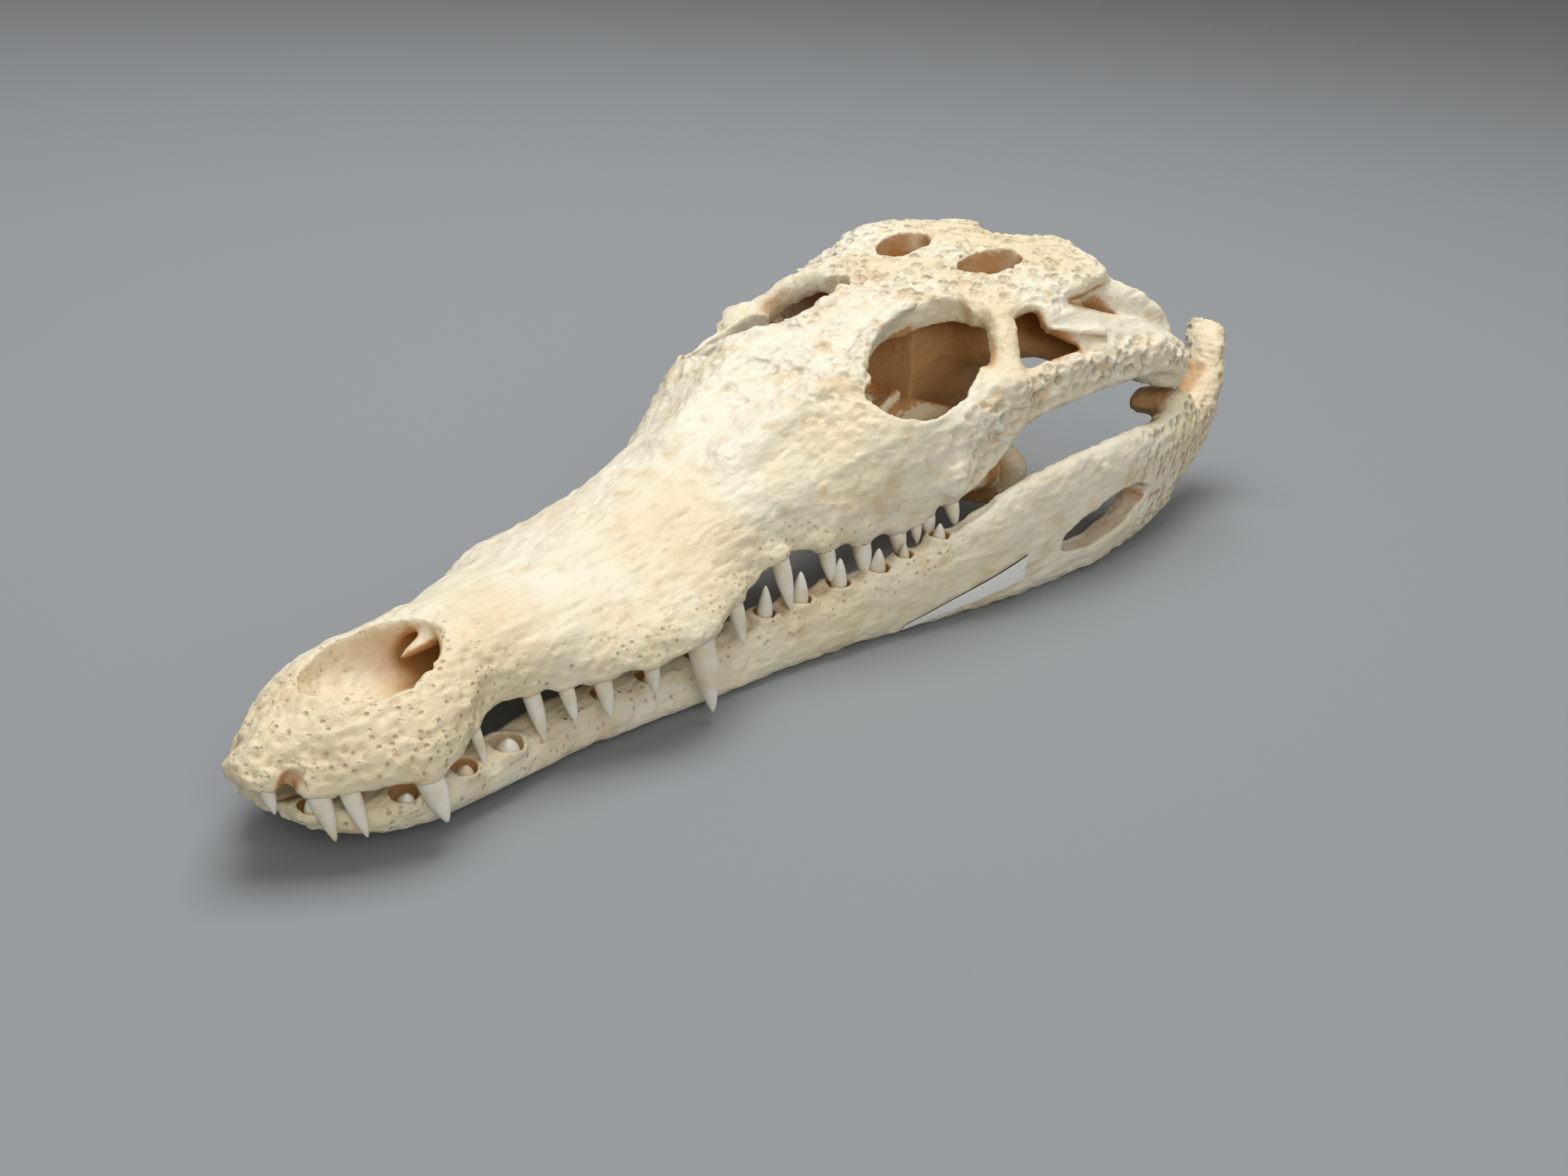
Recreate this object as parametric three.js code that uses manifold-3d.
// Skull of a half-grown Nile crocodile, jaws closed, lying on its lower jaw.
// Millimetres, +Z up, +X to the animal's left. The bones are shaped with y running back from the tip
// of the snout, and the finished group is moved so that its origin is under the middle of the skull.
import * as THREE from "three";
import { mergeVertices } from "three/addons/utils/BufferGeometryUtils.js";
import Module from "manifold-3d";

const wasm = await Module();
wasm.setup();

// Driving dimensions
const JAW_LENGTH = 341; // tip of the snout to the end of the lower jaw; the snout to the occiput is 280
const GAP = 0.3; // left between bones that touch
const BONE = "#e6d9bd";
const PAPER = "#efece4";

// A smooth curve through stations [place, value], flat beyond its ends and never past a station's value.
function curveThrough(stations) {
  const steps = stations.slice(1).map(([y, v], i) => (v - stations[i][1]) / (y - stations[i][0]));
  const slopes = stations.map((_, i) => {
    const before = steps[i - 1];
    const after = steps[i];
    if (before === undefined || after === undefined) return before ?? after;
    return before * after <= 0 ? 0 : (2 * before * after) / (before + after);
  });
  return (place) => {
    const last = stations.length - 1;
    if (place <= stations[0][0]) return stations[0][1];
    if (place >= stations[last][0]) return stations[last][1];
    const i = stations.findIndex(([y]) => y > place) - 1;
    const [y0, v0] = stations[i];
    const [y1, v1] = stations[i + 1];
    const span = y1 - y0;
    const t = (place - y0) / span;
    const ease = t * t * (3 - 2 * t);
    const leave = t * (1 - t) * (1 - t) * span * slopes[i];
    const arrive = t * t * (t - 1) * span * slopes[i + 1];
    return v0 + (v1 - v0) * ease + leave + arrive;
  };
}

// A closed geometry as a manifold-3d solid.
function solidOf(geometry) {
  geometry.deleteAttribute("normal");
  geometry.deleteAttribute("uv");
  const merged = mergeVertices(geometry, 1e-4);
  const solid = new wasm.Manifold(
    new wasm.Mesh({
      numProp: 3,
      vertProperties: merged.attributes.position.array,
      triVerts: new Uint32Array(merged.index.array),
    }),
  );
  return solid;
}

// Moves every vertex of a geometry to shape(x, y, z), an array of three.
function reshape(geometry, shape) {
  const place = geometry.attributes.position;
  for (let i = 0; i < place.count; i++) {
    place.setXYZ(i, ...shape(place.getX(i), place.getY(i), place.getZ(i)));
  }
  return geometry;
}

// A solid lofted from y = from to y = to. section(y, c, s) gives [x, z] for the cosine and sine of the
// angle round the section; the end caps close on its middle.
function loft(from, to, steps, around, section) {
  const drum = new THREE.CylinderGeometry(1, 1, 1, around, steps);
  return solidOf(
    reshape(drum, (px, py, pz) => {
      const y = from + (to - from) * (0.5 - py);
      const radius = Math.hypot(px, pz);
      const angle = Math.atan2(-pz, px);
      const [x, z] = section(y, Math.cos(angle), Math.sin(angle));
      const [x1, z1] = section(y, -Math.cos(angle), -Math.sin(angle));
      const reach = radius > 0.5 ? 1 : 0.5;
      return [x1 + (x - x1) * reach, y, z1 + (z - z1) * reach];
    }),
  );
}

const power = (value, exponent) => Math.sign(value) * Math.abs(value) ** exponent;

// A loft whose section is a rounded box between inner and outer x and between low and high z.
function beam({ from, to, steps, around = 12, inner, outer, low, high, round = 0.7 }) {
  return loft(from, to, steps, around, (y, c, s) => {
    const x = (inner(y) + outer(y)) / 2 + ((outer(y) - inner(y)) / 2) * power(c, round);
    const z = (low(y) + high(y)) / 2 + ((high(y) - low(y)) / 2) * power(s, round);
    return [x, z];
  });
}

// A bar along a smooth path. Each point is [x, y, z, across, up]: across and up are half sizes there,
// up measured in the plane of the path and the vertical. A roll, in degrees, lowers the outer edge.
function bar(points, steps, around = 10, roll = 0) {
  const path = new THREE.CatmullRomCurve3(points.map(([x, y, z]) => new THREE.Vector3(x, y, z)));
  const share = points.map((_, i) => i / (points.length - 1));
  const across = curveThrough(points.map((p, i) => [share[i], p[3]]));
  const up = curveThrough(points.map((p, i) => [share[i], p[4]]));
  const drum = new THREE.CylinderGeometry(1, 1, 1, around, steps);
  return solidOf(
    reshape(drum, (px, py, pz) => {
      const t = 0.5 - py;
      const middle = path.getPoint(t);
      const ahead = path.getTangent(t);
      const side = new THREE.Vector3(ahead.y, -ahead.x, 0);
      if (side.length() < 1e-3) side.set(1, 0, 0);
      side.normalize();
      const lift = new THREE.Vector3().crossVectors(side, ahead);
      side.applyAxisAngle(ahead, THREE.MathUtils.degToRad(roll));
      lift.applyAxisAngle(ahead, THREE.MathUtils.degToRad(roll));
      middle.addScaledVector(side, px * across(t)).addScaledVector(lift, -pz * up(t));
      return middle.toArray();
    }),
  );
}

// An egg-shaped block, turned about z by `turn` and tipped about x by `tip`, in degrees.
function egg([x, y, z], [rx, ry, rz], { turn = 0, tip = 0, around = 18, rings = 10, square = 1 } = {}) {
  const ball = new THREE.SphereGeometry(1, around, rings);
  reshape(ball, (px, py, pz) => [power(px, square) * rx, power(py, square) * ry, power(pz, square) * rz]);
  ball.rotateX(THREE.MathUtils.degToRad(tip));
  ball.rotateZ(THREE.MathUtils.degToRad(turn));
  ball.translate(x, y, z);
  return solidOf(ball);
}

const TOOTH_BOW = 0.06; // how far a tooth bows outwards, as a share of its length

// A tooth: a curved cone from inside its socket at `root` to its tip.
function tooth(root, tip, radius, around = 6) {
  const cone = new THREE.CylinderGeometry(0.06, 1, 1, around, 2);
  const from = new THREE.Vector3(...root);
  const axis = new THREE.Vector3(...tip).sub(from);
  const out = new THREE.Vector3(0, 0, 1).cross(axis).cross(axis).normalize();
  const up = new THREE.Vector3(0, 1, 0);
  const turn = new THREE.Quaternion().setFromUnitVectors(up, axis.clone().normalize());
  return solidOf(
    reshape(cone, (px, py, pz) => {
      const t = py + 0.5;
      const swell = radius * (t > 0.01 && t < 0.99 ? 1.5 : 1);
      const at = new THREE.Vector3(px * swell, 0, pz * swell).applyQuaternion(turn);
      const bow = -TOOTH_BOW * axis.length() * Math.sin(Math.PI * t);
      at.add(from).addScaledVector(axis, t).addScaledVector(out, bow);
      return at.toArray();
    }),
  );
}

const join = (solids) => solids.reduce((all, solid) => all.add(solid));
const cut = (body, solids) => solids.reduce((left, solid) => left.subtract(solid), body);
const mirrored = (solid) => solid.mirror([1, 0, 0]);
const bothSides = (solids) => [...solids, ...solids.map(mirrored)];
const level = (value) => () => value;

// ---- The face: snout, cheeks and palate, from the tip back to the orbits ----

const FACE_BACK = 218;

// Half width at the tooth rows: the round muzzle, the notch for the lower fourth tooth, the swelling
// at the fifth upper tooth, the waist behind it and the widening cheeks.
const faceHalfWidth = curveThrough([
  [-2, 1], [-0.5, 4.5], [4, 9], [11, 15], [19, 20.5], [28, 23.5], [38, 21.5], [47, 18],
  [57, 19], [73, 26], [88, 32], [99, 34], [110, 32.5], [127, 30], [145, 33], [170, 39],
  [188, 43], [203, 46], [FACE_BACK, 48.5],
]);

// Height of the tooth-bearing edge: two festoons, with the arch at the notch and the one at the waist.
const faceEdge = curveThrough([
  [-2, 19.5], [2, 17], [12, 15.3], [30, 14], [40, 15.5], [51, 19.3], [62, 18], [75, 17.8],
  [99, 19.8], [118, 22], [128, 23.5], [138, 27.3], [146, 25.6], [157, 24.2], [170, 23.6], [180, 24.8],
  [190, 27], [200, 28.5], [206, 31], [211, 34], [FACE_BACK, 41],
]);

// Height of the roof along the midline.
const faceTop = curveThrough([
  [-2, 21], [1, 24.5], [8, 28], [20, 32], [35, 34], [52, 35.6], [62, 35.4], [75, 35.4],
  [95, 38.3], [120, 43.5], [145, 50], [165, 57.5], [185, 63.5], [FACE_BACK, 70],
]);

// How boxy the roof's section is: 2 is an ellipse, less is a lower, sloping shoulder.
const roofBoxiness = curveThrough([
  [-2, 1.7], [20, 1.8], [45, 2.4], [60, 2.4], [85, 1.5], [105, 1.5], [125, 1.85], [150, 2],
  [162, 2.5], [172, 3.5], [180, 3.9], [191, 3], [203, 2.6], [FACE_BACK, 2.2],
]);

// Height of the palate along the midline.
const palate = curveThrough([
  [-2, 19.6], [10, 20], [50, 21], [100, 25], [150, 31], [FACE_BACK, 40],
]);

function face() {
  return loft(-2, FACE_BACK, 27, 16, (y, c, s) => {
    const half = faceHalfWidth(y);
    const edge = faceEdge(y);
    const waist = edge + 0.22 * (faceTop(y) - edge);
    const x = half * power(c, 2 / roofBoxiness(y));
    const inward = 1 - Math.abs(x / (0.86 * half)) ** 4;
    if (s >= 0) return [x, waist + (faceTop(y) - waist) * power(s, 2 / roofBoxiness(y))];
    const floor = edge + (palate(y) - edge) * Math.max(0, inward);
    return [x, waist + (floor - waist) * power(-s, 0.5)];
  });
}

// ---- The roof behind the face: frontal beam and skull table ----

const tableHalfWidth = curveThrough([
  [178, 16], [195, 10.5], [212, 9.5], [222, 14], [228, 23], [236, 31], [245, 35], [255, 38],
  [268, 41], [276, 41], [283, 38], [290, 31.5], [297, 23], [301, 14],
]);
const tableTop = curveThrough([
  [178, 61], [208, 68.5], [225, 72.5], [245, 76.5], [275, 79.5], [301, 79],
]);
const TABLE_EDGE_DROP = 2;
const TABLE_THICK = 9;

function table() {
  return loft(178, 301, 13, 10, (y, c, s) => {
    const x = tableHalfWidth(y) * power(c, 0.7);
    const crown = tableTop(y) - TABLE_EDGE_DROP * (x / tableHalfWidth(y)) ** 2;
    return [x, crown - TABLE_THICK / 2 + (TABLE_THICK / 2) * power(s, 0.6)];
  });
}

// ---- Cheek bars, postorbital bars, quadrates, braincase and wings of the palate ----

const cheekOuter = curveThrough([
  [176, 40.3], [190, 43.3], [212, 47.5], [233, 51], [252, 54.5], [287, 59], [307, 58],
]);
const cheekLow = curveThrough([
  [176, 28.5], [190, 30.5], [200, 33], [208, 37], [216, 42.5], [234, 45.5], [252, 47], [287, 46.5], [307, 41],
]);
const cheekHigh = curveThrough([
  [176, 46], [190, 51.5], [204, 54.5], [219, 57], [240, 59.5], [260, 59], [287, 56], [307, 49],
]);
const CHEEK_THICK = 8;

function cheekBar() {
  return beam({
    from: 176,
    to: 307,
    steps: 7,
    around: 8,
    inner: (y) => cheekOuter(y) - CHEEK_THICK,
    outer: cheekOuter,
    low: cheekLow,
    high: cheekHigh,
  });
}

const braincaseHalfWidth = curveThrough([[226, 9], [245, 12], [286, 20]]);

function rearOfSkull() {
  const postorbital = bar(
    [[44, 216, 54, 6, 6], [40, 222, 58.5, 4.2, 4.2], [35, 228.5, 64, 4, 4], [28, 235, 69, 4.5, 4]],
    4, 6,
  );
  const quadrate = bar(
    [[14, 250, 57, 9, 9], [29, 268, 57, 11, 6], [41, 286, 51, 12, 5], [49, 306, 43, 11, 4.5]],
    5, 8, 25,
  );
  const quadratojugal = bar(
    [[38, 247, 68, 6, 2.5], [46.5, 266, 60.5, 8, 2.5], [53, 287, 54, 8, 3], [55, 303, 47, 6, 4]],
    4, 8, 40,
  );
  const earWall = bar([[39, 284, 63, 4, 6], [43, 295, 59, 5, 7], [46, 306, 52, 5, 6]], 3, 6);
  const squamosal = bar(
    [[33, 266, 70, 6, 7], [35.5, 286, 64, 5, 8], [39, 302, 54.5, 5, 6], [41, 314, 49, 3, 3]],
    5, 6,
  );
  const paroccipital = bar([[6, 278, 62, 7, 12], [27, 293, 58, 5, 9], [40, 308, 51, 4, 6]], 3, 6);
  const wing = bar([[3, 216, 34, 5, 8], [18, 232, 27, 4, 13], [35, 243, 18, 3, 8]], 3, 5);
  const ectopterygoid = bar([[44, 190, 37, 4, 5], [40, 208, 32, 3, 4], [33, 232, 24, 3, 5]], 3, 5);
  const palatine = bar([[9, 140, 30, 9, 5], [6, 180, 32, 7, 4], [6, 222, 34, 9, 5]], 3, 5);
  const braincase = beam({
    from: 226,
    to: 286,
    steps: 5,
    around: 10,
    inner: (y) => -braincaseHalfWidth(y),
    outer: braincaseHalfWidth,
    low: curveThrough([[226, 30], [250, 26], [270, 30], [286, 46]]),
    high: level(72),
    round: 0.8,
  });
  const condyle = egg([0, 287, 49], [7, 6, 6], { around: 8, rings: 5 });
  return join([
    braincase,
    condyle,
    ...bothSides([postorbital, quadrate, quadratojugal, squamosal, earWall, paroccipital]),
    ...bothSides([wing, ectopterygoid, palatine, cheekBar()]),
  ]);
}

// ---- Openings of the cranium ----

function nostril() {
  return join([
    egg([1, 32.5, 35], [12.2, 15.5, 12], { around: 12, rings: 6, tip: -5 }),
    egg([0, 50, 27], [8, 14, 6], { around: 8, rings: 6 }),
  ]);
}

function orbit() {
  return join([
    egg([25, 203, 63], [14.5, 29, 30], { turn: 12, around: 12, rings: 6 }),
    egg([25, 192, 34], [11, 32, 17], { around: 8, rings: 5 }),
  ]);
}

const TEMPORAL_OPENING = [14.5, 256, 76];

function upperTemporalOpening() {
  return egg(TEMPORAL_OPENING, [7.5, 12, 16], { turn: -10, around: 10, rings: 4 });
}

function occipitalNotch() {
  return egg([0, 303, 80], [14, 20, 12], { around: 10, rings: 5 });
}

// ---- Teeth of one side: [y, x of the tip, height of the tip, radius at the gum] ----

const UPPER_TEETH = [
  [1, 5.5, 12.7, 1.5], [8, 14, 6.6, 2.2], [12.5, 18, 6.9, 2], [27, 25, 6, 2.9], [43, 20.5, 8.8, 1.3],
  [60, 21, 7.9, 2], [67, 23.5, 10.7, 1.8], [75, 26.5, 9.5, 2.1], [86, 30, 12.2, 1.9], [102, 34.3, 2.4, 3.3],
  [117, 31.5, 13, 2], [135.5, 32, 15.6, 2.4], [151, 33.2, 18, 2.2], [163, 35.8, 15.4, 2.5],
  [175, 38.9, 17.8, 2.3], [181, 39.9, 20.5, 1.7], [185.5, 41, 21, 2.2], [194, 43.8, 22.2, 2.1],
];

const LOWER_TEETH = [
  [8.5, 9.5, 16.5, 1.6], [24, 19.2, 12.6, 2.2], [39, 20.3, 12.6, 2.2], [52, 19.8, 12.8, 2.8],
  [81, 20.5, 14, 1.6],
  [94, 24.5, 14.5, 1.7], [109, 26, 16.5, 1.8], [132, 28, 22.8, 2], [142, 31.3, 24, 2.2],
  [154, 34.8, 24.6, 2.1], [166, 38.6, 24.4, 2.1], [174.5, 41, 23.8, 1.6], [185, 45, 27, 1.8],
];

const SOCKET_DEPTH = 4.5;

// Each tooth stands a little inside the edge of its bone and leans outwards to its tip.
function teeth(rows, edgeHeight, halfWidth, into, extra = 0) {
  return rows.map(([y, x, tip, radius]) => {
    const socketX = Math.min(x - 0.8, halfWidth(y) - radius - 1);
    const root = [socketX, y, edgeHeight(y) + into * SOCKET_DEPTH];
    return tooth(root, [x, y + into, tip - into * extra], radius + extra, radius > 3 ? 6 : 4);
  });
}

const upperTeeth = (extra) => teeth(UPPER_TEETH, faceEdge, faceHalfWidth, 1, extra);

function cranium() {
  const underBrow = egg([0.5, 204, 52], [16, 26, 11], { tip: 12, around: 8, rings: 5 });
  const openings = [nostril(), occipitalNotch(), underBrow, ...bothSides([orbit(), upperTemporalOpening()])];
  const bone = cut(join([face(), table()]), openings).add(rearOfSkull());
  return join([bone, ...bothSides(upperTeeth())]);
}

// ---- The lower jaw, left half ----

const jawOuter = curveThrough([
  [6, 7], [10, 12], [16, 17], [23, 20], [40, 22], [55, 22.8], [68, 23.2], [80, 25],
  [95, 28], [112, 31], [131, 34.5], [154, 40.5], [180, 49], [202, 56.5], [225, 61.5], [250, 66],
  [275, 67.2], [300, 65.5], [330, 62], [JAW_LENGTH, 56.5],
]);
const jawThick = curveThrough([
  [6, 5], [20, 11], [180, 11], [230, 9], [290, 12], [310, 14], [330, 14], [JAW_LENGTH, 13.5],
]);
const jawLow = curveThrough([
  [6, 9], [11, 6.5], [20, 4.5], [40, 2.6], [70, 1.2], [110, 0.5], [150, 0], [240, 0], [262, 1.2], [285, 3.2],
  [305, 8], [320, 14.5], [332, 25], [JAW_LENGTH, 41],
]);
const jawHigh = curveThrough([
  [6, 12.5], [20, 11.5], [60, 11], [100, 11], [118, 12.8], [131, 15], [142, 16.4], [152, 17.3],
  [165, 18.5], [178, 20.8], [186, 23.8], [194, 26.8], [203, 30.8], [222, 34.5], [240, 36], [265, 35.5],
  [285, 33.5], [300, 34], [312, 31.5], [324, 36], [334, 46], [JAW_LENGTH, 50],
]);
// How far the upper edge leans inwards of the lower one.
const jawLean = curveThrough([[15, 0], [52, 1], [65, 3], [110, 4], [150, 1.5], [180, 0]]);
const jawRim = (y) => jawOuter(y) - jawLean(y);

function ramus() {
  return loft(6, JAW_LENGTH, 26, 8, (y, c, s) => {
    const outer = jawOuter(y);
    const inner = Math.max(outer - jawThick(y), GAP / 2);
    const x = (outer + inner) / 2 + ((outer - inner) / 2) * power(c, 0.7);
    const z = (jawLow(y) + jawHigh(y)) / 2 + ((jawHigh(y) - jawLow(y)) / 2) * power(s, 0.7);
    const share = (power(s, 0.7) + 1) / 2;
    return [Math.max(x - jawLean(y) * share, GAP / 2), z];
  });
}

function lowerJaw() {
  const chin = beam({
    from: 7,
    to: 48,
    steps: 6,
    around: 8,
    inner: level(GAP / 2),
    outer: (y) => jawOuter(y) - 4,
    low: (y) => jawLow(y) + 0.6,
    high: (y) => jawHigh(y) - 1.5,
    round: 0.5,
  });
  const joint = bar([[48, 303, 32, 8, 4], [58, 303, 33, 8, 4]], 2, 8);
  const window = egg([63, 246, 15], [14, 21, 5.8], { tip: 9, around: 10, rings: 5 });
  const thinWall = egg([54.5, 248, 17], [7, 24, 9], { around: 8, rings: 5 });
  const bone = cut(join([ramus(), chin, joint]), [window, thinWall]);
  return join([bone, ...teeth(LOWER_TEETH, jawHigh, jawRim, -1)]);
}

// ---- The paper label on the left half of the lower jaw: a long wedge on the curve of the bone ----

const LABEL_FROM = 170;
const LABEL_TO = 209;
const LABEL_TOP = 14;
const LABEL_THICK = 0.5;

function label() {
  const shape = new THREE.Shape();
  shape.moveTo(LABEL_FROM, 1.6);
  shape.lineTo(LABEL_TO, 6.8);
  shape.lineTo(LABEL_TO, LABEL_TOP);
  shape.lineTo(LABEL_FROM, 3.4);
  const wedge = new THREE.ExtrudeGeometry(shape, { depth: 60, bevelEnabled: false });
  wedge.rotateY(Math.PI / 2).rotateX(Math.PI / 2);
  wedge.translate(30, 0, 0);
  const bone = ramus();
  const paper = bone.translate([GAP + LABEL_THICK, 0, 0]).subtract(bone.translate([GAP, 0, 0]));
  return paper.intersect(solidOf(wedge));
}

// ---- Assembly ----

// A lower jaw cut back by the gap from all that rests on it: the bone above, and the teeth beside it.
function clearOf(jaw, above, fatTeeth) {
  return cut(jaw, [above, above.translate([0, 0, -GAP]), ...fatTeeth]);
}

function meshOf(name, solid, colour, roughness) {
  const found = solid.getMesh();
  const geometry = new THREE.BufferGeometry();
  geometry.setAttribute("position", new THREE.BufferAttribute(new Float32Array(found.vertProperties), 3));
  geometry.setIndex(new THREE.BufferAttribute(new Uint32Array(found.triVerts), 1));
  geometry.computeVertexNormals();
  const material = new THREE.MeshStandardMaterial({ color: colour, roughness, metalness: 0 });
  material.flatShading = true;
  const mesh = new THREE.Mesh(geometry, material);
  mesh.name = name;
  return mesh;
}

const skull = new THREE.Group();
const upper = cranium();
const left = lowerJaw();
const fatTeeth = upperTeeth(GAP);
const leftJaw = clearOf(left, upper, fatTeeth);
const rightJaw = clearOf(mirrored(left), upper, fatTeeth.map(mirrored));
skull.add(meshOf("cranium", upper, BONE, 0.6));
skull.add(meshOf("mandible_left", leftJaw, BONE, 0.6));
skull.add(meshOf("mandible_right", rightJaw, BONE, 0.6));
skull.add(meshOf("label", label(), PAPER, 0.8));
skull.position.set(0, -JAW_LENGTH / 2, 0);

export default skull;
